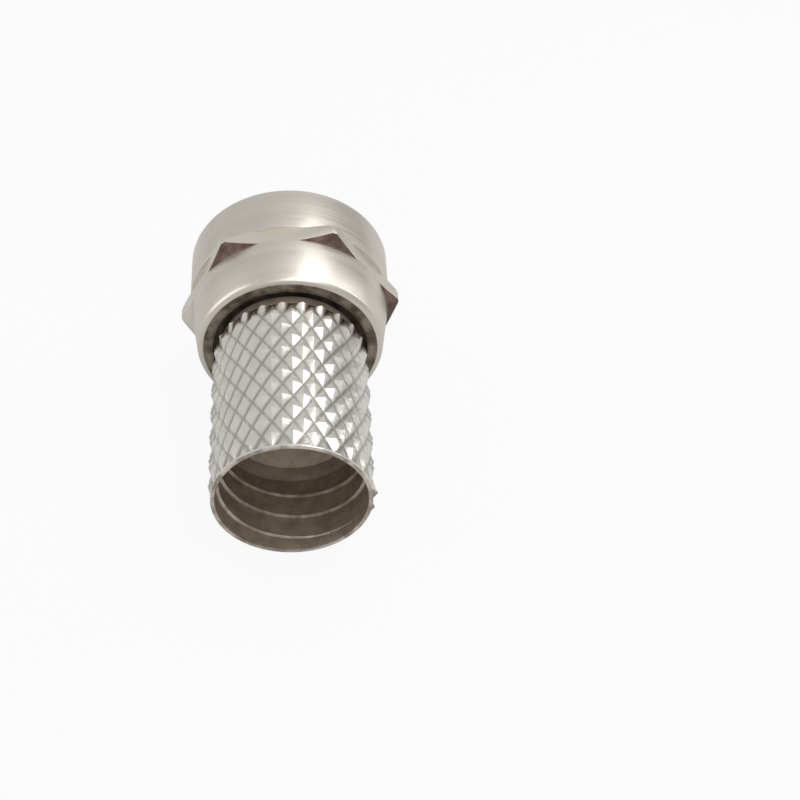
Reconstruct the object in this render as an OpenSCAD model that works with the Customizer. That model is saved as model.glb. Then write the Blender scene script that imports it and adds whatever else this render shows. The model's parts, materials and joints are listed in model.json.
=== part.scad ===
// F connector, screw-on type, for 7 mm coaxial cable.
// It lies with its axis level, on the nut's front collar and one corner of the hexagon.
// The nut's mouth faces +Y and the cable end faces -Y.
// The origin is on the axis, at the front face of the lip, where it seats on a port.
// Profiles are drawn as [radius, distance behind the nut's mouth] and turned about the
// axis. Threads are left plain, at the diameter of their roots. Millimetres.

/* [Coupling nut] */
// Length of the nut along the axis
nut_len = 6.9; // [6.7:0.1:7.2]
// Wall of the front collar, outside the thread's roots
collar_wall = 0.72; // [0.66:0.02:0.8]
// Distance from the mouth to the hexagon
hex_front = 3.1; // [2.6:0.1:3.4]
// Length of the hexagon along the axis
hex_len = 1; // [0.8:0.05:1.2]
// Depth of the flats' middles below the front collar
flat_depth = 0.22; // [0.16:0.02:0.28]
// Height of the turned-down corners above the front collar
corner_height = 0.53; // [0.4:0.01:0.58]
// Length of the bevel behind the corners
corner_bevel = 0.35; // [0.2:0.05:0.5]
// Step down from the front collar to the rear collar
collar_step = 0.11; // [0.04:0.01:0.16]
// Angle at which the rear collar tapers to the rear face
rear_taper = 8; // [5:0.5:9]
// Radius of the rounding at the rear face
rear_round = 0.25; // [0.15:0.05:0.35]
// Width of the flat rim round the recess in the rear face
rear_rim = 0.62; // [0.5:0.02:0.7]
// Depth of the recess in the rear face
recess_depth = 0.45; // [0.3:0.05:0.6]

/* [Port thread, 3/8-32 UNEF] */
// Diameter at the thread's roots
port_root_d = 9.56; // [9.54:0.01:9.6]
// Distance from the mouth to the end of the thread
port_thread_end = 3.8; // [3.4:0.1:4]
// Width of the flat rim at the mouth
mouth_rim = 0.2; // [0.1:0.05:0.3]
// Length of the chamfer at the mouth
mouth_chamfer = 0.3; // [0.2:0.05:0.5]
// Depth of the undercut below the thread's roots
undercut_depth = 0.17; // [0.16:0.01:0.22]
// Bevel in the far corner of the undercut
undercut_bevel = 0.4; // [0.3:0.05:0.6]
// Thickness of the web that the neck turns in
web_t = 0.65; // [0.5:0.05:0.8]

/* [Neck and front lip] */
// Diameter of the neck
neck_d = 6.5; // [6.4:0.02:6.6]
// Gap between the neck and the nut, all round
turning_gap = 0.05; // [0.03:0.01:0.1]
// Wall of the neck
neck_wall = 0.43; // [0.35:0.01:0.5]
// Distance that the lip is flared out from the neck
lip_flare = 0.45; // [0.35:0.05:0.6]
// Thickness of the lip
lip_t = 0.45; // [0.35:0.05:0.5]
// Gap between the web and the shoulder behind it, with the nut drawn up to the lip
end_play = 0.3; // [0.2:0.05:0.4]
// Gap between the nut's rear face and the sleeve
shoulder_gap = 0.65; // [0.4:0.05:0.7]

/* [Knurled sleeve] */
// Length of the sleeve
sleeve_len = 10.2; // [9.5:0.05:11.5]
// Wall of the sleeve at the bottom of the knurl's grooves
sleeve_wall = 0.14; // [0.12:0.01:0.2]
// Height of the knurl's points above its grooves
knurl_depth = 0.25; // [0.2:0.01:0.3]
// Number of points round the sleeve
knurl_starts = 24; // [20:1:28]
// Distance between points along the sleeve
knurl_pitch = 1.7; // [1.4:0.1:2.2]
// Wall of the plain rim at the mouth
rim_wall = 0.16; // [0.15:0.01:0.2]
// Length of the plain rim, clear of the knurl
rim_len = 0.06; // [0.04:0.02:0.2]

/* [Cable end bore] */
// Diameter at the cable thread's roots
cable_root_d = 7.68; // [7.6:0.02:7.76]
// Length of the threaded stretch
cable_thread_len = 5.2; // [4.8:0.1:5.6]
// Step in from the thread's roots to the smooth chamber
chamber_step = 0.49; // [0.4:0.01:0.6]
// Wall of the shoulder between the neck and the sleeve, round the chamber
shoulder_wall = 0.4; // [0.3:0.05:0.5]
// Distance that the chamber runs up into the shoulder
chamber_rise = 0.4; // [0.2:0.05:0.45]

/* [Hidden] */
nickel = [0.80, 0.78, 0.75];
cut_through = 0.5;  // how far a cutter passes the face that it opens
edge_break = 0.12;  // small chamfer on turned edges
play = 0.05;        // axial gap between the lip and the web
seam = 0.1;         // how far turned parts run on inside the knurl
drill_slope = 31;   // angle of the shoulder that a drill's point leaves
arc_steps = 6;      // segments in the rounding at the rear face
$fn = 96;

// The nut's radii, and its stations along the axis.
collar = port_root_d / 2 + collar_wall;
corner = collar + corner_height;
rear_collar = collar - collar_step;
hex_rear = hex_front + hex_len;
round_start = nut_len - rear_round * (1 - sin(rear_taper));
rear_face = rear_collar - (round_start - hex_rear) * tan(rear_taper) - rear_round * cos(rear_taper);
web_rear = nut_len - recess_depth;
web_front = web_rear - web_t;

// The body's radii, and its stations along the axis.
neck = neck_d / 2;
neck_bore = neck - neck_wall;
cable_root = cable_root_d / 2;
chamber = cable_root - chamber_step;
knurl_root = cable_root + sleeve_wall;
knurl_tip = knurl_root + knurl_depth;
lip_rear = web_front - play;
lip_front = lip_rear - lip_t;
shoulder_front = web_rear + end_play;
sleeve_front = nut_len + shoulder_gap;
sleeve_end = sleeve_front + sleeve_len;
knurl_end = sleeve_end - rim_len;
thread_front = sleeve_end - cable_thread_len;
chamber_front = sleeve_front - chamber_rise;
knurl_bands = round(2 * (knurl_end - sleeve_front) / knurl_pitch);
knurl_sides = 2 * knurl_starts;

// Turn about the axis that brings a corner down to the ground, level with the collar.
settled = 30 - acos(collar / corner);

// Lays an upright piece along -Y, with the lip's front face at the origin.
module laid() {
    translate([0, lip_front, 0])
        rotate([90, 0, 0])
            rotate([0, 0, settled])
                children();
}

// Turns a profile about the upright axis.
module turned(profile) {
    rotate_extrude()
        polygon(profile);
}

// A point at an angle, a radius and a height on the upright axis.
function at(angle, radius, height) = [radius * cos(angle), radius * sin(angle), height];

// ---- Coupling nut ----

// Rounding that takes the rear collar's taper over to the rear face.
function rear_rounding() = [
    for (step = [0:arc_steps])
        let (turn = rear_taper + (90 - rear_taper) * step / arc_steps)
        [rear_face + rear_round * cos(turn), nut_len - rear_round * (1 - sin(turn))]
];

module front_collar() {
    turned([
        [0, 0], [collar - edge_break, 0], [collar, edge_break],
        [collar, hex_front], [0, hex_front]
    ]);
}

module rear_collar() {
    turned(concat([[0, hex_rear], [rear_collar, hex_rear]], rear_rounding(), [[0, nut_len]]));
}

// The hexagon, with its corners turned down and bevelled on both sides.
module hexagon() {
    intersection() {
        translate([0, 0, hex_front])
            cylinder(h = hex_len, r = (collar - flat_depth) / cos(30), $fn = 6);
        turned([
            [0, hex_front], [corner - edge_break, hex_front], [corner, hex_front + edge_break],
            [corner, hex_rear - corner_bevel], [rear_collar, hex_rear], [0, hex_rear]
        ]);
    }
}

// Everything that is cut from inside the nut.
module nut_bore() {
    root = port_root_d / 2;
    undercut = root + undercut_depth;
    web_hole = neck + turning_gap;
    recess = rear_face - rear_rim;
    turned([
        [0, -cut_through], [collar - mouth_rim, -cut_through], [collar - mouth_rim, 0],
        [root, mouth_chamfer], [root, port_thread_end],
        [undercut, port_thread_end + undercut_depth], [undercut, web_front - undercut_bevel],
        [undercut - undercut_bevel, web_front], [web_hole, web_front], [web_hole, web_rear],
        [recess, web_rear], [recess, nut_len + cut_through], [0, nut_len + cut_through]
    ]);
}

module coupling_nut() {
    color(nickel)
        laid()
            difference() {
                union() {
                    front_collar();
                    hexagon();
                    rear_collar();
                }
                nut_bore();
            }
}

// ---- Knurled body ----

// Diamond knurl on an upright core: points and groove crossings take turns along each
// ring and from ring to ring, so the grooves run straight through the crossings.
module knurl() {
    function is_tip(ring, side) = (ring + side) % 2 == 0;
    function index(ring, side) = ring * knurl_sides + side % knurl_sides;
    rings = [
        for (ring = [0:knurl_bands], side = [0:knurl_sides - 1])
            at(
                360 * side / knurl_sides,
                is_tip(ring, side) ? knurl_tip : knurl_root,
                sleeve_front + (knurl_end - sleeve_front) * ring / knurl_bands
            )
    ];
    centres = [[0, 0, sleeve_front], [0, 0, knurl_end]];
    facets = [
        for (ring = [0:knurl_bands - 1], side = [0:knurl_sides - 1])
            let (
                near = index(ring, side),
                near_next = index(ring, side + 1),
                far = index(ring + 1, side),
                far_next = index(ring + 1, side + 1)
            )
            each is_tip(ring, side)
                ? [[near, far, near_next], [near_next, far, far_next]]
                : [[near, far_next, near_next], [near, far, far_next]]
    ];
    first_centre = len(rings);
    ends = [
        for (side = [0:knurl_sides - 1])
            each [
                [first_centre, index(0, side), index(0, side + 1)],
                [first_centre + 1, index(knurl_bands, side + 1), index(knurl_bands, side)]
            ]
    ];
    polyhedron(concat(rings, centres), concat(facets, ends));
}

// The flared lip, the neck that carries the nut, and the shoulder behind the nut's web.
module lip_and_neck() {
    lip = neck + lip_flare;
    shoulder = chamber + shoulder_wall;
    turned([
        [0, lip_front], [lip - edge_break, lip_front], [lip, lip_front + edge_break],
        [lip, lip_rear], [neck, lip_rear], [neck, shoulder_front], [shoulder, shoulder_front],
        [shoulder, sleeve_front + seam], [0, sleeve_front + seam]
    ]);
}

// The plain rim at the sleeve's mouth.
module sleeve_rim() {
    rim = cable_root + rim_wall;
    turned([[0, knurl_end - seam], [rim, knurl_end - seam], [rim, sleeve_end], [0, sleeve_end]]);
}

// Everything that is bored out of the body.
module body_bore() {
    shoulder = (chamber - neck_bore) * tan(drill_slope);
    turned([
        [0, lip_front - cut_through], [neck_bore, lip_front - cut_through],
        [neck_bore, chamber_front], [chamber, chamber_front + shoulder],
        [chamber, thread_front], [cable_root, thread_front + chamber_step],
        [cable_root, sleeve_end + cut_through], [0, sleeve_end + cut_through]
    ]);
}

module knurled_body() {
    color(nickel)
        laid()
            difference() {
                union() {
                    lip_and_neck();
                    knurl();
                    sleeve_rim();
                }
                body_bore();
            }
}

coupling_nut();
knurled_body();
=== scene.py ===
"""Screw-on F connector: the finished nut and knurled sleeve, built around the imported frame."""

import json
import math
import random
from collections import namedtuple

import bpy
from mathutils import Matrix, Vector


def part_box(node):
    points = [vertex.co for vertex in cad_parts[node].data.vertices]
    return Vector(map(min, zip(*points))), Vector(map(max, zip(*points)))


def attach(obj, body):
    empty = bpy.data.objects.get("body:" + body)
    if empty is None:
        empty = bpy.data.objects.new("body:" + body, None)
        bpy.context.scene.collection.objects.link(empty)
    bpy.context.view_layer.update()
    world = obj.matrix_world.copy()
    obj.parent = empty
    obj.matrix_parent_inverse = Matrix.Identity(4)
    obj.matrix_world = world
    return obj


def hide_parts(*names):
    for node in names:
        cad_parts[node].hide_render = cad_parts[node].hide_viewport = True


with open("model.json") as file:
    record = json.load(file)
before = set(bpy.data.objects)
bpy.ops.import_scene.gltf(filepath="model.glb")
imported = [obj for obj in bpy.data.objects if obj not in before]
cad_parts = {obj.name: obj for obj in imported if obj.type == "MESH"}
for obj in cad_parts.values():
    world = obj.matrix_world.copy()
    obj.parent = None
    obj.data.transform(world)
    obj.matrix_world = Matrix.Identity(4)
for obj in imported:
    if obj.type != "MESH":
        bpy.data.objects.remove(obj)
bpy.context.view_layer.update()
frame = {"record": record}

MM = 0.001

# ---- Sizes, in millimetres -------------------------------------------------------------
# Places along the axis are distances behind the nut's mouth, as they are on a lathe, and
# along() turns them into the frame's Y. Across the axis, sizes are radii. What the frame
# says is read from it.

mounts = {mount["name"]: mount for mount in frame["record"]["mounts"]}
nut_low, nut_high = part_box("coupling_nut")
body_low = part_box("knurled_body")[0]

NUT_LEN = (nut_high.y - nut_low.y) / MM
LIP_FRONT = nut_high.y / MM
SLEEVE_END = (nut_high.y - body_low.y) / MM
PORT_ROOT = mounts["port_thread"]["dims"]["r_mm"]
NECK_BORE = mounts["neck_bore"]["dims"]["r_mm"]
CHAMBER = mounts["chamber"]["dims"]["r_mm"]
CABLE_ROOT = mounts["cable_thread"]["dims"]["r_mm"]

# The nut: two round collars, the hexagon between them, and the web that turns on the neck.
COLLAR = PORT_ROOT + 0.72
HEX_FRONT = 3.1
HEX_REAR = 4.1
HEX_EDGE = 0.045
FLAT_DEPTH = 0.22
CORNER = COLLAR + 0.53
CORNER_BEVEL = 0.35
BAND_FLOOR = 5.15
BAND_BORE = 5.08
REAR_COLLAR = COLLAR - 0.11
REAR_CORNER = 5.0
REAR_ROUND = 0.28
RECESS = 4.16
WEB_REAR = NUT_LEN - 0.45
WEB_FRONT = WEB_REAR - 0.65
MOUTH_OPENING = COLLAR - 0.2
MOUTH_CHAMFER = 0.3
EDGE_BREAK = 0.12

# The port thread, 32 turns to the inch, and the undercut behind it.
PORT_PITCH = 25.4 / 32
PORT_CREST = 4.36
PORT_RIDGE = 0.62
PORT_THREAD_START = MOUTH_CHAMFER + PORT_RIDGE / 2 + 0.05
PORT_THREAD_END = 3.8
UNDERCUT_DEPTH = 0.17
UNDERCUT = PORT_ROOT + UNDERCUT_DEPTH
UNDERCUT_BEVEL = 0.4

# The body inside the nut: the flared lip, the neck, the shoulder and the chamber.
NECK = 3.25
WEB_HOLE = NECK + 0.05
LIP = NECK + 0.45
LIP_REAR = WEB_FRONT - 0.05
SHOULDER = CHAMBER + 0.4
SHOULDER_FRONT = WEB_REAR + 0.3
CHAMBER_FRONT = 7.15
DRILL_POINT = 0.32

# The sleeve and its knurl. A burr is a point of the last ring, by its side of the rod, and
# how much further it stands out.
SLEEVE_FRONT = NUT_LEN + 0.65
KNURL_ROOT = CABLE_ROOT + 0.14
KNURL_TIP = KNURL_ROOT + 0.25
KNURL_CORE = CABLE_ROOT + 0.09
ROD_BORE = CABLE_ROOT + 0.05
KNURL_END = SLEEVE_END - 0.06
KNURL_STARTS = 24
KNURL_BANDS = 12
KNURL_END_MARGIN = 0.1
POINT_WEAR = 0.025
POINT_DRIFT = 0.03
GROOVE = KNURL_ROOT + 0.05
GROOVE_ROUNDING = 0.018
CROSS_GROOVE_LIFT = 0.03
LIFTED_GROOVE = GROOVE + CROSS_GROOVE_LIFT
RIM = CABLE_ROOT + 0.23
FRONT_TIP = KNURL_ROOT + 0.16
END_TIP = KNURL_ROOT + 0.12
END_BURRS = {0: 0.26, -2: 0.13}

# The thread that bites the cable, and where the chamber before it ends.
CABLE_PITCH = 1.4
CABLE_CREST = 3.69
CABLE_RIDGE = 0.16
CHAMBER_END = SLEEVE_END - 5.2
CABLE_THREAD_START = CHAMBER_END + 0.49
CABLE_THREAD_END = SLEEVE_END - 0.45

FINE_EDGE = 0.03
SPIN_STEPS = 144

# How far joined pieces reach into each other, how far two faces are kept from lying in one
# plane, and how far a cutting tool stands clear of the work.
OVERLAP = 0.02
HAIR = 0.001
CLEAR = 1

# A thread's crest is this share of its ridge wide, and runs out over this share of a turn.
CREST_SHARE = 0.12
RUN_OUT = 0.4

# The turn about the axis that the hexagon has in the frame, with a corner near the ground.
HALF_SIDE = math.radians(30)
SETTLED = HALF_SIDE - math.acos(COLLAR / CORNER)


def along(place):
    """The frame's Y, in millimetres, of a place behind the nut's mouth."""
    return LIP_FRONT - place


def from_axis(point):
    """A point's distance from the axis, in millimetres."""
    return math.hypot(point.x, point.z) / MM


def behind_mouth(point):
    """A point's place behind the nut's mouth, in millimetres."""
    return LIP_FRONT - point.y / MM


# ---- Modelling tools -----------------------------------------------------------------


def deselect_all():
    if bpy.context.object and bpy.context.object.mode != "OBJECT":
        bpy.ops.object.mode_set(mode="OBJECT")
    bpy.ops.object.select_all(action="DESELECT")


def make_active(piece):
    deselect_all()
    piece.select_set(True)
    bpy.context.view_layer.objects.active = piece


def edit(piece, select="SELECT"):
    """Enters edit mode with all of a piece selected, or with nothing selected."""
    make_active(piece)
    bpy.ops.object.mode_set(mode="EDIT")
    bpy.ops.mesh.select_all(action=select)


def leave_edit():
    bpy.ops.object.mode_set(mode="OBJECT")


def edit_only(piece, kind, wanted):
    """Enters edit mode with only the wanted points, edges or faces selected."""
    edit(piece, "DESELECT")
    bpy.ops.mesh.select_mode(type=kind)
    leave_edit()
    mesh = piece.data
    parts = {"VERT": mesh.vertices, "EDGE": mesh.edges, "FACE": mesh.polygons}[kind]
    for part in parts:
        part.select = wanted(part)
    make_active(piece)
    bpy.ops.object.mode_set(mode="EDIT")


def close_and_face_outwards(piece):
    """Merges doubled points and turns the faces outwards."""
    edit(piece)
    bpy.ops.mesh.remove_doubles(threshold=1e-7)
    bpy.ops.mesh.normals_make_consistent(inside=False)
    leave_edit()
    return piece


def push_out(vertex, share):
    """Multiplies a point's distance from the axis by this share."""
    vertex.co.x *= share
    vertex.co.z *= share


def apply(piece, kind, **settings):
    """Adds a modifier with these settings and applies it."""
    make_active(piece)
    modifier = piece.modifiers.new(kind.title(), kind)
    for name, value in settings.items():
        setattr(modifier, name, value)
    bpy.ops.object.modifier_apply(modifier=modifier.name)
    return piece


def cut_with(piece, other, operation):
    """Boolean with another piece, which is used up."""
    apply(piece, "BOOLEAN", object=other, operation=operation, solver="EXACT")
    bpy.data.objects.remove(other)
    return piece


def outline_piece(name, outline):
    """A closed outline of (radius, place behind the mouth) points, in millimetres."""
    deselect_all()
    bpy.ops.mesh.primitive_circle_add(vertices=len(outline), radius=MM)
    piece = bpy.context.object
    piece.name = name
    for vertex, (radius, place) in zip(piece.data.vertices, outline):
        vertex.co = (radius * MM, along(place) * MM, 0)
    return piece


def round_corners(piece, radius, corners):
    """Rounds these corners of an outline, given as (radius, place) points."""
    points = [Vector((at * MM, along(place) * MM, 0)) for at, place in corners]
    edit_only(piece, "VERT", lambda vertex: any(
        (vertex.co - point).length < 1e-7 for point in points))
    bpy.ops.mesh.bevel(offset=radius * MM, segments=3, affect="VERTICES")
    leave_edit()


def spin_about_axis(piece):
    """Spins a closed outline all the way round the axis."""
    edit(piece)
    bpy.ops.mesh.spin(steps=SPIN_STEPS, angle=2 * math.pi, center=(0, 0, 0), axis=(0, 1, 0))
    return close_and_face_outwards(piece)


def turned(name, outline, softer=()):
    """A turned piece: an outline with fine edges, spun about the axis. Softer corners are
    given as (radius, place, rounding)."""
    piece = outline_piece(name, outline)
    for radius, place, rounding in softer:
        round_corners(piece, rounding, [(radius, place)])
    soft = {(radius, place) for radius, place, rounding in softer}
    round_corners(piece, FINE_EDGE, [point for point in outline if point not in soft])
    return spin_about_axis(piece)


def ridge(name, wall, crest, pitch, width, first, last):
    """A thread's turns: a pointed section swept along a right-handed helix, from one place
    to another, whose crest sinks into the wall at both ends."""
    foot, half = wall + 2 * OVERLAP, width / 2
    tip = half * CREST_SHARE
    section = [(foot, last - half), (crest, last - tip), (crest, last + tip), (foot, last + half)]
    piece = outline_piece(name, section)
    turns = (last - first) / pitch
    steps = round(SPIN_STEPS * turns)
    apply(
        piece, "SCREW", axis="Y", angle=2 * math.pi * turns,
        screw_offset=(last - first) * MM, iterations=1, steps=steps, render_steps=steps,
    )
    edit(piece, "DESELECT")
    bpy.ops.mesh.select_non_manifold(extend=False)
    bpy.ops.mesh.edge_face_add()
    close_and_face_outwards(piece)
    sunk = wall + 0.7 * OVERLAP
    for vertex in piece.data.vertices:
        radius, place = from_axis(vertex.co), behind_mouth(vertex.co)
        if radius > wall:
            continue
        fade = 1 - min(place - first, last - place) / (pitch * RUN_OUT)
        fade = max(0.0, min(1.0, fade))
        push_out(vertex, 1 + (sunk / radius - 1) * fade * fade * (3 - 2 * fade))
    return piece


def bore_cutter(name, radius, first, last):
    """A solid rod on the axis, to bore a hole with."""
    deselect_all()
    bpy.ops.mesh.primitive_cylinder_add(
        vertices=SPIN_STEPS, radius=radius * MM, depth=(last - first) * MM,
        location=(0, along((first + last) / 2) * MM, 0), rotation=(math.pi / 2, 0, 0),
    )
    cutter = bpy.context.object
    cutter.name = name
    bpy.ops.object.transform_apply(location=True, rotation=True, scale=True)
    return cutter


def smooth(piece):
    """Shades the rounded faces smooth and leaves the sharp edges sharp."""
    make_active(piece)
    bpy.ops.object.shade_smooth_by_angle(angle=math.radians(30))
    return piece


# ---- Coupling nut --------------------------------------------------------------------


def nut_collars():
    """Both round collars and everything inside the nut."""
    rear_corner = (REAR_CORNER, NUT_LEN)
    outline = [
        (MOUTH_OPENING, 0), (COLLAR - EDGE_BREAK, 0), (COLLAR, EDGE_BREAK),
        (COLLAR, HEX_FRONT + OVERLAP), (BAND_FLOOR, HEX_FRONT + OVERLAP),
        (BAND_FLOOR, HEX_REAR - OVERLAP), (REAR_COLLAR, HEX_REAR - OVERLAP),
        rear_corner, (RECESS, NUT_LEN), (RECESS, WEB_REAR), (WEB_HOLE, WEB_REAR),
        (WEB_HOLE, WEB_FRONT), (UNDERCUT - UNDERCUT_BEVEL, WEB_FRONT),
        (UNDERCUT, WEB_FRONT - UNDERCUT_BEVEL),
        (UNDERCUT, PORT_THREAD_END + UNDERCUT_DEPTH),
        (PORT_ROOT, PORT_THREAD_END), (PORT_ROOT, MOUTH_CHAMFER),
    ]
    return turned("coupling_nut_shell", outline, softer=[rear_corner + (REAR_ROUND,)])


def hexagon():
    """The hexagonal band, with its corners turned down and bevelled, bored to a ring."""
    middle = (HEX_FRONT + HEX_REAR) / 2
    deselect_all()
    bpy.ops.mesh.primitive_cylinder_add(
        vertices=6, radius=(COLLAR - FLAT_DEPTH) / math.cos(HALF_SIDE) * MM,
        depth=(HEX_REAR - HEX_FRONT) * MM, location=(0, along(middle) * MM, 0),
        rotation=(math.pi / 2, HALF_SIDE - SETTLED, 0),
    )
    band = bpy.context.object
    band.name = "hexagon"
    bpy.ops.object.transform_apply(location=True, rotation=True, scale=True)
    envelope = spin_about_axis(outline_piece("corner_turning", [
        (CLEAR, HEX_FRONT - CLEAR), (CORNER - EDGE_BREAK, HEX_FRONT - HAIR),
        (CORNER, HEX_FRONT + EDGE_BREAK), (CORNER, HEX_REAR - CORNER_BEVEL),
        (REAR_COLLAR - OVERLAP, HEX_REAR + OVERLAP), (CLEAR, HEX_REAR + CLEAR),
    ]))
    cut_with(band, envelope, "INTERSECT")
    apply(band, "BEVEL", width=HEX_EDGE * MM, segments=2, limit_method="ANGLE",
          angle_limit=math.radians(20))
    bore = bore_cutter("band_bore", BAND_BORE, HEX_FRONT - CLEAR, HEX_REAR + CLEAR)
    return cut_with(band, bore, "DIFFERENCE")


def coupling_nut():
    """The collars, the hexagon and the port thread, joined."""
    nut = nut_collars()
    cut_with(nut, hexagon(), "UNION")
    thread = ridge(
        "port_thread", PORT_ROOT, PORT_CREST, PORT_PITCH, PORT_RIDGE,
        PORT_THREAD_START, PORT_THREAD_END,
    )
    cut_with(nut, thread, "UNION")
    return smooth(close_and_face_outwards(nut))


# ---- Knurled sleeve ------------------------------------------------------------------


def edge_ends(piece, edge):
    """Both ends of an edge."""
    return [piece.data.vertices[index].co for index in edge.vertices]


def edge_rise(piece, edge):
    """How far apart an edge's ends are along the axis."""
    first, last = edge_ends(piece, edge)
    return abs(last.y - first.y)


def knurled_rod():
    """A rod whose side is pulled out into points, ring by ring and turn about."""
    sides = 2 * KNURL_STARTS
    length = KNURL_END - SLEEVE_FRONT
    deselect_all()
    bpy.ops.mesh.primitive_cylinder_add(
        vertices=sides, radius=KNURL_ROOT * MM, depth=length * MM, end_fill_type="NGON",
        location=(0, along((SLEEVE_FRONT + KNURL_END) / 2) * MM, 0),
        rotation=(math.pi / 2, -SETTLED, 0),
    )
    rod = bpy.context.object
    rod.name = "knurled_sleeve"
    bpy.ops.object.transform_apply(location=True, rotation=True, scale=True)
    edit_only(rod, "EDGE", lambda edge: edge_rise(rod, edge) > length * MM / 2)
    bpy.ops.mesh.subdivide(number_cuts=KNURL_BANDS - 1)
    leave_edit()
    for vertex in rod.data.vertices:
        angle = math.atan2(vertex.co.z, vertex.co.x) - SETTLED
        side = round(angle / (2 * math.pi) * sides)
        ring = round((behind_mouth(vertex.co) - SLEEVE_FRONT) / length * KNURL_BANDS)
        if (side + ring) % 2 == 0:
            tips = {0: FRONT_TIP, KNURL_BANDS: END_TIP + END_BURRS.get(side, 0)}
            push_out(vertex, tips.get(ring, KNURL_TIP) / KNURL_ROOT)
    edit_only(rod, "FACE", lambda face: len(face.vertices) == 4)
    bpy.ops.mesh.quads_convert_to_tris(quad_method="SHORTEST_DIAGONAL")
    leave_edit()
    return rod


def uneven_points(rod):
    """No two points of a rolled knurl stand quite alike."""
    chance = random.Random(24)
    front, end = SLEEVE_FRONT + KNURL_END_MARGIN, KNURL_END - KNURL_END_MARGIN
    for vertex in rod.data.vertices:
        radius = from_axis(vertex.co)
        if radius < GROOVE:
            continue
        push_out(vertex, 1 - chance.uniform(0, POINT_WEAR) / radius)
        if front < behind_mouth(vertex.co) < end:
            vertex.co.y += chance.uniform(-POINT_DRIFT, POINT_DRIFT) * MM
    return rod


def lift_cross_grooves(rod):
    """The grooves that lean the other way are cut less deep, so the points join in rows."""

    def cross_groove(edge):
        first, last = edge_ends(rod, edge)
        low = max(from_axis(first), from_axis(last)) < GROOVE
        turn = first.x * last.z - first.z * last.x
        return low and turn * (last.y - first.y) > 1e-14

    before = len(rod.data.vertices)
    edit_only(rod, "EDGE", cross_groove)
    bpy.ops.mesh.subdivide(number_cuts=1)
    leave_edit()
    for vertex in rod.data.vertices[before:]:
        push_out(vertex, 1 + CROSS_GROOVE_LIFT / from_axis(vertex.co))
    return rod


def soften_knurl(rod):
    """Rounds the grooves a little, and the points and the ends' edges less."""
    weight = rod.data.attributes.new("bevel_weight_edge", "FLOAT", "EDGE")
    for edge in rod.data.edges:
        groove = all(from_axis(end) < LIFTED_GROOVE for end in edge_ends(rod, edge))
        weight.data[edge.index].value = 1.0 if groove else 0.7
    return apply(rod, "BEVEL", width=GROOVE_ROUNDING * MM, segments=1, limit_method="WEIGHT")


def sleeve_core():
    """The lip, the neck, the shoulder, the sleeve's wall and its rim, bored through. The
    shoulder and the rim reach a little way into the knurled rod."""
    front, end = SLEEVE_FRONT + KNURL_END_MARGIN, KNURL_END - KNURL_END_MARGIN
    outline = [
        (NECK_BORE, LIP_FRONT), (LIP - EDGE_BREAK, LIP_FRONT), (LIP, LIP_FRONT + EDGE_BREAK),
        (LIP, LIP_REAR), (NECK, LIP_REAR), (NECK, SHOULDER_FRONT), (SHOULDER, SHOULDER_FRONT),
        (SHOULDER, front), (KNURL_CORE, front), (KNURL_CORE, end), (RIM, end),
        (RIM, SLEEVE_END), (CABLE_ROOT, SLEEVE_END), (CABLE_ROOT, CABLE_THREAD_START),
        (CHAMBER, CHAMBER_END), (CHAMBER, CHAMBER_FRONT + DRILL_POINT),
        (NECK_BORE, CHAMBER_FRONT),
    ]
    return turned("sleeve_core", outline)


def knurled_sleeve():
    """The knurled rod, bored, with the core and the cable thread joined in."""
    rod = soften_knurl(lift_cross_grooves(uneven_points(knurled_rod())))
    bore = bore_cutter("rod_bore", ROD_BORE, SLEEVE_FRONT - CLEAR, SLEEVE_END + CLEAR)
    cut_with(rod, bore, "DIFFERENCE")
    cut_with(rod, sleeve_core(), "UNION")
    thread = ridge(
        "cable_thread", CABLE_ROOT, CABLE_CREST, CABLE_PITCH, CABLE_RIDGE,
        CABLE_THREAD_START, CABLE_THREAD_END,
    )
    cut_with(rod, thread, "UNION")
    return smooth(close_and_face_outwards(rod))


# ---- Finishes ------------------------------------------------------------------------


def group(name, inputs, outputs):
    """An empty shared effect with these named sockets, and its own in and out nodes."""
    tree = bpy.data.node_groups.new(name, "ShaderNodeTree")
    for socket, kind, value in inputs:
        made = tree.interface.new_socket(socket, in_out="INPUT", socket_type=kind)
        made.default_value = value
    for socket, kind in outputs:
        tree.interface.new_socket(socket, in_out="OUTPUT", socket_type=kind)
    return tree, tree.nodes.new("NodeGroupInput"), tree.nodes.new("NodeGroupOutput")


def add_node(tree, kind, **settings):
    """A new node with these settings."""
    node = tree.nodes.new(kind)
    for name, value in settings.items():
        setattr(node, name, value)
    return node


def feed(tree, socket, value):
    """Sets a socket to a number or a colour, or joins it to another node's output."""
    if isinstance(value, (int, float)):
        socket.default_value = value
    elif isinstance(value, tuple):
        socket.default_value = value + (1,)
    else:
        tree.links.new(value, socket)


def math_node(tree, operation, *values):
    """A Math node, whose values are numbers or sockets."""
    node = add_node(tree, "ShaderNodeMath", operation=operation)
    for socket, value in zip(node.inputs, values):
        feed(tree, socket, value)
    return node.outputs[0]


def mix_colour(tree, factor, first, second):
    """The first colour where the factor is 0, and the second where it is 1."""
    node = add_node(tree, "ShaderNodeMix", data_type="RGBA")
    colours = [socket for socket in node.inputs if socket.type == "RGBA"]
    for socket, value in zip([node.inputs[0]] + colours, (factor, first, second)):
        feed(tree, socket, value)
    return next(socket for socket in node.outputs if socket.type == "RGBA")


def ramp(tree, value, low, high):
    """0 below low, 1 above high, smooth between."""
    node = add_node(tree, "ShaderNodeMapRange", interpolation_type="SMOOTHSTEP")
    tree.links.new(value, node.inputs["Value"])
    feed(tree, node.inputs["From Min"], low)
    feed(tree, node.inputs["From Max"], high)
    return node.outputs[0]


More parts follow.
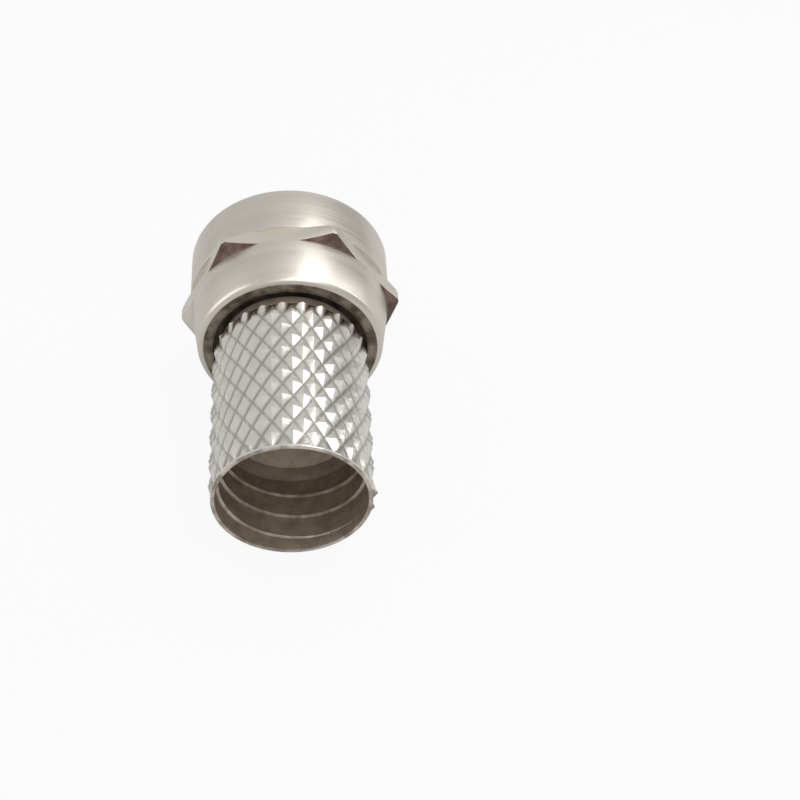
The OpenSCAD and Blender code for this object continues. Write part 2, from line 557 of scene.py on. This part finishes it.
def lathe_place_group():
    """Where a point lies on the lathe, in millimetres: from the axis, and along it."""
    tree, _, result = group("lathe_place", [], [
        ("From Axis", "NodeSocketFloat"), ("Along", "NodeSocketFloat"),
        ("Point", "NodeSocketVector"),
    ])
    where = add_node(tree, "ShaderNodeTexCoord")
    scaled = add_node(tree, "ShaderNodeVectorMath", operation="SCALE")
    scaled.inputs["Scale"].default_value = 1 / MM
    tree.links.new(where.outputs["Object"], scaled.inputs[0])
    parts = add_node(tree, "ShaderNodeSeparateXYZ")
    tree.links.new(scaled.outputs[0], parts.inputs[0])
    squares = math_node(
        tree, "ADD", math_node(tree, "MULTIPLY", parts.outputs[0], parts.outputs[0]),
        math_node(tree, "MULTIPLY", parts.outputs[2], parts.outputs[2]),
    )
    tree.links.new(math_node(tree, "SQRT", squares), result.inputs["From Axis"])
    tree.links.new(parts.outputs[1], result.inputs["Along"])
    tree.links.new(scaled.outputs[0], result.inputs["Point"])
    return tree


def turning_marks_group(lathe_place):
    """Fine rings left by the lathe, this many a millimetre and a little wavering, and the
    broad bands that they lie in."""
    tree, given, result = group("turning_marks", [
        ("Lines", "NodeSocketFloat", 9.0), ("Waver", "NodeSocketFloat", 0.12),
    ], [("Marks", "NodeSocketFloat"), ("Bands", "NodeSocketFloat")])
    lathe = add_node(tree, "ShaderNodeGroup", node_tree=lathe_place)
    drift = add_node(tree, "ShaderNodeTexNoise")
    drift.inputs["Scale"].default_value = 0.35
    drift.inputs["Detail"].default_value = 1
    tree.links.new(lathe.outputs["Point"], drift.inputs["Vector"])
    run = math_node(
        tree, "ADD", math_node(tree, "ADD", lathe.outputs["From Axis"], lathe.outputs["Along"]),
        math_node(tree, "MULTIPLY", drift.outputs[0], given.outputs["Waver"]),
    )
    for lines, detail, socket in (
        (given.outputs["Lines"], 3, "Marks"),
        (math_node(tree, "MULTIPLY", given.outputs["Lines"], 0.16), 2, "Bands"),
    ):
        noise = add_node(tree, "ShaderNodeTexNoise", noise_dimensions="1D")
        noise.inputs["Detail"].default_value = detail
        noise.inputs["Scale"].default_value = 1
        tree.links.new(math_node(tree, "MULTIPLY", run, lines), noise.inputs["W"])
        tree.links.new(noise.outputs[0], result.inputs[socket])
    return tree


def stains_group(lathe_place):
    """Patches of tarnish: their size in millimetres and how much of the face they take."""
    tree, given, result = group("stains", [
        ("Patch", "NodeSocketFloat", 1.5), ("Cover", "NodeSocketFloat", 0.5),
        ("Soft", "NodeSocketFloat", 0.12),
    ], [("Mask", "NodeSocketFloat"), ("Grain", "NodeSocketFloat")])
    lathe = add_node(tree, "ShaderNodeGroup", node_tree=lathe_place)
    patch = add_node(tree, "ShaderNodeTexNoise")
    patch.inputs["Detail"].default_value = 4
    patch.inputs["Roughness"].default_value = 0.55
    tree.links.new(lathe.outputs["Point"], patch.inputs["Vector"])
    tree.links.new(math_node(tree, "DIVIDE", 1, given.outputs["Patch"]), patch.inputs["Scale"])
    edge = math_node(tree, "SUBTRACT", 1, given.outputs["Cover"])
    low = math_node(tree, "SUBTRACT", edge, given.outputs["Soft"])
    high = math_node(tree, "ADD", edge, given.outputs["Soft"])
    tree.links.new(ramp(tree, patch.outputs[0], low, high), result.inputs["Mask"])
    grain = add_node(tree, "ShaderNodeTexNoise")
    grain.inputs["Scale"].default_value = 3.5
    grain.inputs["Detail"].default_value = 3
    tree.links.new(lathe.outputs["Point"], grain.inputs["Vector"])
    tree.links.new(grain.outputs[0], result.inputs["Grain"])
    return tree


def depth_group(lathe_place):
    """How deep a point lies between two distances from the axis: 1 at the deep one."""
    tree, given, result = group("groove_depth", [
        ("Deep", "NodeSocketFloat", 1.0), ("Proud", "NodeSocketFloat", 2.0),
    ], [("Depth", "NodeSocketFloat")])
    lathe = add_node(tree, "ShaderNodeGroup", node_tree=lathe_place)
    risen = ramp(tree, lathe.outputs["From Axis"], given.outputs["Deep"], given.outputs["Proud"])
    tree.links.new(math_node(tree, "SUBTRACT", 1, risen), result.inputs["Depth"])
    return tree


class Finish:
    """A material being built, with the shared effects at hand."""

    def __init__(self, name, effects, metallic=1.0):
        self.material = bpy.data.materials.new(name)
        self.material.use_nodes = True
        self.tree = self.material.node_tree
        self.shader = self.tree.nodes["Principled BSDF"]
        self.shader.inputs["Metallic"].default_value = metallic
        self.effects = effects

    def effect(self, name, **values):
        """One of the shared effects, with its own values."""
        node = add_node(self.tree, "ShaderNodeGroup", node_tree=self.effects[name])
        for socket, value in values.items():
            node.inputs[socket].default_value = value
        return node

    def colour(self, value):
        self.tree.links.new(value, self.shader.inputs["Base Color"])

    def roughness(self, value):
        self.tree.links.new(value, self.shader.inputs["Roughness"])

    def relief(self, height, distance):
        """Raises the surface by the height, to this many millimetres."""
        bump = add_node(self.tree, "ShaderNodeBump")
        bump.inputs["Distance"].default_value = distance * MM
        self.tree.links.new(height, bump.inputs["Height"])
        self.tree.links.new(bump.outputs[0], self.shader.inputs["Normal"])


def turned_nickel(effects, name, bright, dull, rough, lines):
    """Bright nickel with the lathe's rings, this many a millimetre, and faint tarnish."""
    finish = Finish(name, effects)
    tree = finish.tree
    marks = finish.effect("turning_marks", Lines=lines)
    stains = finish.effect("stains", Patch=2.2, Cover=0.42, Soft=0.2)
    bands = ramp(tree, marks.outputs["Bands"], 0.3, 0.7)
    fine = ramp(tree, marks.outputs["Marks"], 0.25, 0.75)
    ringed = mix_colour(tree, bands, dull, bright)
    ringed = mix_colour(tree, math_node(tree, "MULTIPLY", fine, 0.2), ringed, dull)
    worn = mix_colour(tree, math_node(tree, "MULTIPLY", stains.outputs["Mask"], 0.35),
                      ringed, tuple(part * 0.86 for part in dull))
    finish.colour(worn)
    ringed_rough = math_node(tree, "MULTIPLY_ADD", fine, 0.12, rough)
    finish.roughness(math_node(tree, "MULTIPLY_ADD", stains.outputs["Mask"], 0.08, ringed_rough))
    finish.relief(math_node(tree, "ADD", marks.outputs["Marks"],
                            math_node(tree, "MULTIPLY", stains.outputs["Grain"], 0.5)), 0.0025)
    return finish.material


def knurl_nickel(effects):
    """Bright nickel with faint tarnish, and painted shade that darkens it down into the knurl's
    grooves.
    """
    finish = Finish("knurl_nickel", effects)
    tree = finish.tree
    depth = finish.effect("groove_depth", Deep=KNURL_ROOT - 0.01, Proud=LIFTED_GROOVE)
    stains = finish.effect("stains", Patch=1.1, Cover=0.4, Soft=0.18)
    clean = mix_colour(tree, math_node(tree, "MULTIPLY", stains.outputs["Mask"], 0.5),
                       (0.86, 0.84, 0.80), (0.70, 0.68, 0.63))
    # Painted shade: the colour darkens towards the groove floors, where shade falls between the
    # points.
    finish.colour(mix_colour(
        tree, math_node(tree, "MULTIPLY", depth.outputs["Depth"], 0.6), clean,
        (0.15, 0.135, 0.12)))
    finish.roughness(math_node(tree, "MULTIPLY_ADD", stains.outputs["Grain"], 0.1, 0.17))
    finish.relief(stains.outputs["Grain"], 0.012)
    return finish.material


def tarnish_and_painted_light_metal(effects, name, light, dark, rough, metallic):
    """Brown, dull, mottled metal with turning rings: tarnish where the plating is thin, and also
    the painted shade of the nut's recess and the painted light of the chamber wall.
    """
    finish = Finish(name, effects, metallic=metallic)
    tree = finish.tree
    marks = finish.effect("turning_marks", Lines=5.0)
    stains = finish.effect("stains", Patch=0.7, Cover=0.5, Soft=0.16)
    mottled = mix_colour(tree, stains.outputs["Mask"], light, dark)
    rings = math_node(tree, "MULTIPLY", ramp(tree, marks.outputs["Marks"], 0.35, 0.7), 0.18)
    finish.colour(mix_colour(tree, rings, mottled, tuple(part * 0.6 for part in dark)))
    finish.roughness(math_node(tree, "MULTIPLY_ADD", stains.outputs["Grain"], 0.25, rough))
    finish.relief(math_node(tree, "ADD", stains.outputs["Grain"], marks.outputs["Marks"]), 0.012)
    return finish.material


def all_finishes():
    """Every finish of both pieces. Each has a lighter colour, a darker one and a roughness."""
    lathe_place = lathe_place_group()
    effects = {
        "turning_marks": turning_marks_group(lathe_place),
        "stains": stains_group(lathe_place),
        "groove_depth": depth_group(lathe_place),
    }
    return {
        "collar": turned_nickel(
            effects, "collar_nickel", (0.80, 0.76, 0.70), (0.71, 0.67, 0.61), 0.27, 4.0),
        "rim": tarnish_and_painted_light_metal(
            effects, "rim_metal", (0.76, 0.71, 0.65), (0.38, 0.335, 0.29), 0.32, 1.0),
        "knurl": knurl_nickel(effects),
        "rear": tarnish_and_painted_light_metal(
            effects, "rear_face_metal", (0.38, 0.33, 0.27), (0.14, 0.115, 0.092), 0.36, 0.85),
        "shoulder": tarnish_and_painted_light_metal(
            effects, "corner_shoulder_metal", (0.27, 0.19, 0.16), (0.13, 0.085, 0.07), 0.5, 0.7),
        "inside": tarnish_and_painted_light_metal(
            effects, "bore_metal", (0.36, 0.295, 0.23), (0.26, 0.21, 0.163), 0.44, 0.45),
        # Painted light: the chamber wall's pale, nearly unmetallic colour stands in for light
        # falling into the bore; its mottles are stains.
        "chamber": tarnish_and_painted_light_metal(
            effects, "chamber_metal", (0.92, 0.84, 0.71), (0.76, 0.68, 0.56), 0.5, 0.15),
        "step": tarnish_and_painted_light_metal(
            effects, "bore_step_metal", (0.34, 0.285, 0.225), (0.24, 0.2, 0.155), 0.5, 0.5),
        # Painted shade: the recess behind the web is nearly black, for the shade that falls
        # between the nut and the sleeve.
        "recess": tarnish_and_painted_light_metal(
            effects, "recess_metal", (0.15, 0.12, 0.095), (0.06, 0.048, 0.036), 0.5, 0.5),
        "port": tarnish_and_painted_light_metal(
            effects, "port_thread_metal", (0.62, 0.57, 0.50), (0.42, 0.37, 0.31), 0.34, 0.9),
        "port_crest": tarnish_and_painted_light_metal(
            effects, "port_crest_metal", (0.76, 0.71, 0.64), (0.58, 0.53, 0.46), 0.3, 1.0),
        "crest": tarnish_and_painted_light_metal(
            effects, "thread_crest_metal", (0.74, 0.68, 0.60), (0.44, 0.39, 0.33), 0.3, 0.9),
    }


# A face's middle, in millimetres, and how far it looks away from the axis and forwards.
Spot = namedtuple("Spot", "behind radius across outwards forwards")

# A face counts as lying on a size when it is no further than this from it.
NEAR = 0.03


def spot_of(face):
    """Where a face lies and looks."""
    radius = from_axis(face.center)
    outwards = (face.normal.x * face.center.x + face.normal.z * face.center.z) / MM
    return Spot(behind_mouth(face.center), radius, face.center.x / MM,
                outwards / max(radius, 0.01), face.normal.y)


def finish_faces(piece, order, choose):
    """Gives each face the finish that choose() names for its spot."""
    piece.data.materials.clear()
    for name in order:
        piece.data.materials.append(finishes[name])
    for face in piece.data.polygons:
        face.material_index = order.index(choose(spot_of(face)))


def nut_finish(spot):
    """The nut's finish: painted shade in the recess, brown on the shoulders behind the corners,
    with a painted highlight on the left corner's shoulder.
    """
    behind_web = spot.behind > WEB_FRONT + 0.1
    # Painted shade: faces in the recess behind the web take the nearly black recess colour.
    if behind_web and (spot.outwards < -0.5 or spot.radius < RECESS + NEAR):
        return "recess"
    if spot.radius < PORT_CREST + NEAR and spot.behind < PORT_THREAD_END + 0.3:
        return "port_crest"
    if spot.radius < UNDERCUT + NEAR and MOUTH_CHAMFER < spot.behind and not behind_web:
        return "port"
    if spot.forwards < -0.4 and spot.radius > REAR_COLLAR - 0.12:
        # The step behind the front collar has bright plating. The shoulder behind the left corner
        # takes the bright finish as a painted highlight, where light falls from the left.
        plated_or_painted_highlight = spot.behind < HEX_FRONT + 0.3 or spot.across < -5.0
        return "collar" if plated_or_painted_highlight else "shoulder"
    return "rear" if spot.forwards < -0.97 else "collar"


def sleeve_finish(spot):
    """The sleeve's finish: browned in its bore, with painted light on the chamber wall, bright on
    the thread's crest and the rim.
    """
    if spot.radius < CABLE_ROOT - 0.015 and CABLE_THREAD_START < spot.behind < KNURL_END:
        return "crest"
    bore_face = spot.outwards < 0.2 and spot.behind > CHAMBER_FRONT
    if bore_face and spot.radius < CABLE_ROOT - 0.02:
        return "chamber" if spot.behind < CHAMBER_END - 0.02 else "step"
    if bore_face and spot.radius < CABLE_ROOT + NEAR:
        return "inside"
    if spot.behind < SLEEVE_FRONT:
        return "inside" if spot.behind > WEB_REAR or spot.outwards < 0 else "collar"
    at_rim = spot.behind > KNURL_END - 0.05 and spot.forwards < -0.6
    return "rim" if at_rim or spot.behind > KNURL_END + 0.005 else "knurl"


# ---- The two pieces ------------------------------------------------------------------

finishes = all_finishes()

nut = coupling_nut()
nut.name = "coupling_nut_shell"
finish_faces(
    nut, ["collar", "rear", "shoulder", "recess", "port", "port_crest"], nut_finish)
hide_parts("coupling_nut")
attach(nut, "nut")

sleeve = knurled_sleeve()
sleeve.name = "knurled_sleeve_shell"
finish_faces(
    sleeve, ["knurl", "inside", "chamber", "step", "crest", "rim", "collar"], sleeve_finish)
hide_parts("knurled_body")
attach(sleeve, "sleeve")


# ---- Floor, light and camera ---------------------------------------------------------

FLOOR_WIDTH = 600
CAMERA_PLACE = (0.275, -69.220, 65.783)
CAMERA_TARGET = (5.752, -5.543, 0.0)
CAMERA_ROLL = math.radians(2.80)
CAMERA_LENS = 78.11


def floor():
    """A pale floor under the nut's lowest corner, tipped up until the sleeve rests on it."""
    low = min((vertex.co for vertex in nut.data.vertices), key=lambda point: point.z)
    rise = min(
        math.atan2(vertex.co.z - low.z, low.y - vertex.co.y)
        for vertex in sleeve.data.vertices if vertex.co.y < low.y - MM
    )
    deselect_all()
    bpy.ops.mesh.primitive_plane_add(size=FLOOR_WIDTH * MM)
    ground = bpy.context.object
    ground.name = "floor"
    ground.rotation_euler.x = -rise
    ground.location = (0, low.y, low.z)
    bpy.ops.object.transform_apply(location=True, rotation=True, scale=True)
    material = bpy.data.materials.new("floor_white")
    material.use_nodes = True
    tree = material.node_tree
    base = tree.nodes["Principled BSDF"]
    base.inputs["Base Color"].default_value = (0.62, 0.62, 0.62, 1)
    base.inputs["Roughness"].default_value = 0.9
    base.inputs["Specular IOR Level"].default_value = 0.1
    glow = add_node(tree, "ShaderNodeEmission")
    glow.inputs["Color"].default_value = (1, 1, 1, 1)
    rays = add_node(tree, "ShaderNodeLightPath")
    share = math_node(
        tree, "MAXIMUM", math_node(tree, "MULTIPLY", rays.outputs["Is Camera Ray"], 0.91),
        math_node(tree, "MULTIPLY", rays.outputs["Is Glossy Ray"], 0.1),
    )
    blended = add_node(tree, "ShaderNodeMixShader")
    tree.links.new(share, blended.inputs[0])
    tree.links.new(base.outputs[0], blended.inputs[1])
    tree.links.new(glow.outputs[0], blended.inputs[2])
    tree.links.new(blended.outputs[0], tree.nodes["Material Output"].inputs["Surface"])
    ground.data.materials.append(material)


def soft_lamp(name, position, target, width, depth, watts):
    """A large oblong lamp, in millimetres, turned towards its target."""
    lamp = bpy.data.lights.new(name, "AREA")
    lamp.shape = "RECTANGLE"
    lamp.size = width * MM
    lamp.size_y = depth * MM
    lamp.energy = watts
    holder = bpy.data.objects.new(name, lamp)
    bpy.context.scene.collection.objects.link(holder)
    holder.location = Vector(position) * MM
    holder.rotation_euler = (
        (Vector(target) - Vector(position)).to_track_quat("-Z", "Y").to_euler())


def room():
    """A white studio, paler on the left than on the right."""
    world = bpy.data.worlds.new("studio")
    bpy.context.scene.world = world
    world.use_nodes = True
    tree = world.node_tree
    sky = tree.nodes["Background"]
    direction = add_node(tree, "ShaderNodeTexCoord")
    parts = add_node(tree, "ShaderNodeSeparateXYZ")
    tree.links.new(direction.outputs["Generated"], parts.inputs[0])
    above = ramp(tree, parts.outputs[2], 0.1, 0.95)
    shade = mix_colour(tree, above, (0.56, 0.55, 0.54), (1.0, 0.98, 0.95))
    left = ramp(tree, parts.outputs[0], 0.05, -0.5)
    shade = mix_colour(tree, left, shade, (0.78, 0.77, 0.76))
    tree.links.new(shade, sky.inputs["Color"])
    sky.inputs["Strength"].default_value = 0.78


def camera():
    """The camera, above and in front of the cable end, rolled a little."""
    lens = bpy.data.cameras.new("camera")
    lens.lens = CAMERA_LENS
    lens.sensor_width = 36
    lens.clip_start = 0.001
    holder = bpy.data.objects.new("camera", lens)
    bpy.context.scene.collection.objects.link(holder)
    position = Vector(CAMERA_PLACE) * MM
    target = Vector(CAMERA_TARGET) * MM
    turn = (target - position).to_track_quat("-Z", "Y").to_matrix()
    turn = turn @ Matrix.Rotation(CAMERA_ROLL, 3, "Z")
    holder.matrix_world = Matrix.Translation(position) @ turn.to_4x4()
    bpy.context.scene.camera = holder


floor()
room()
soft_lamp("overhead", (28, -10, 84), (2, -3, 0), width=175, depth=44, watts=0.043)
soft_lamp("right_card", (78, 25, 42), (0, -6, 0), width=20, depth=84, watts=0.011)
soft_lamp("left_card", (-90, -5, 34), (0, -3, 0), width=60, depth=90, watts=0.015)
camera()
bpy.context.scene.view_settings.view_transform = "Standard"
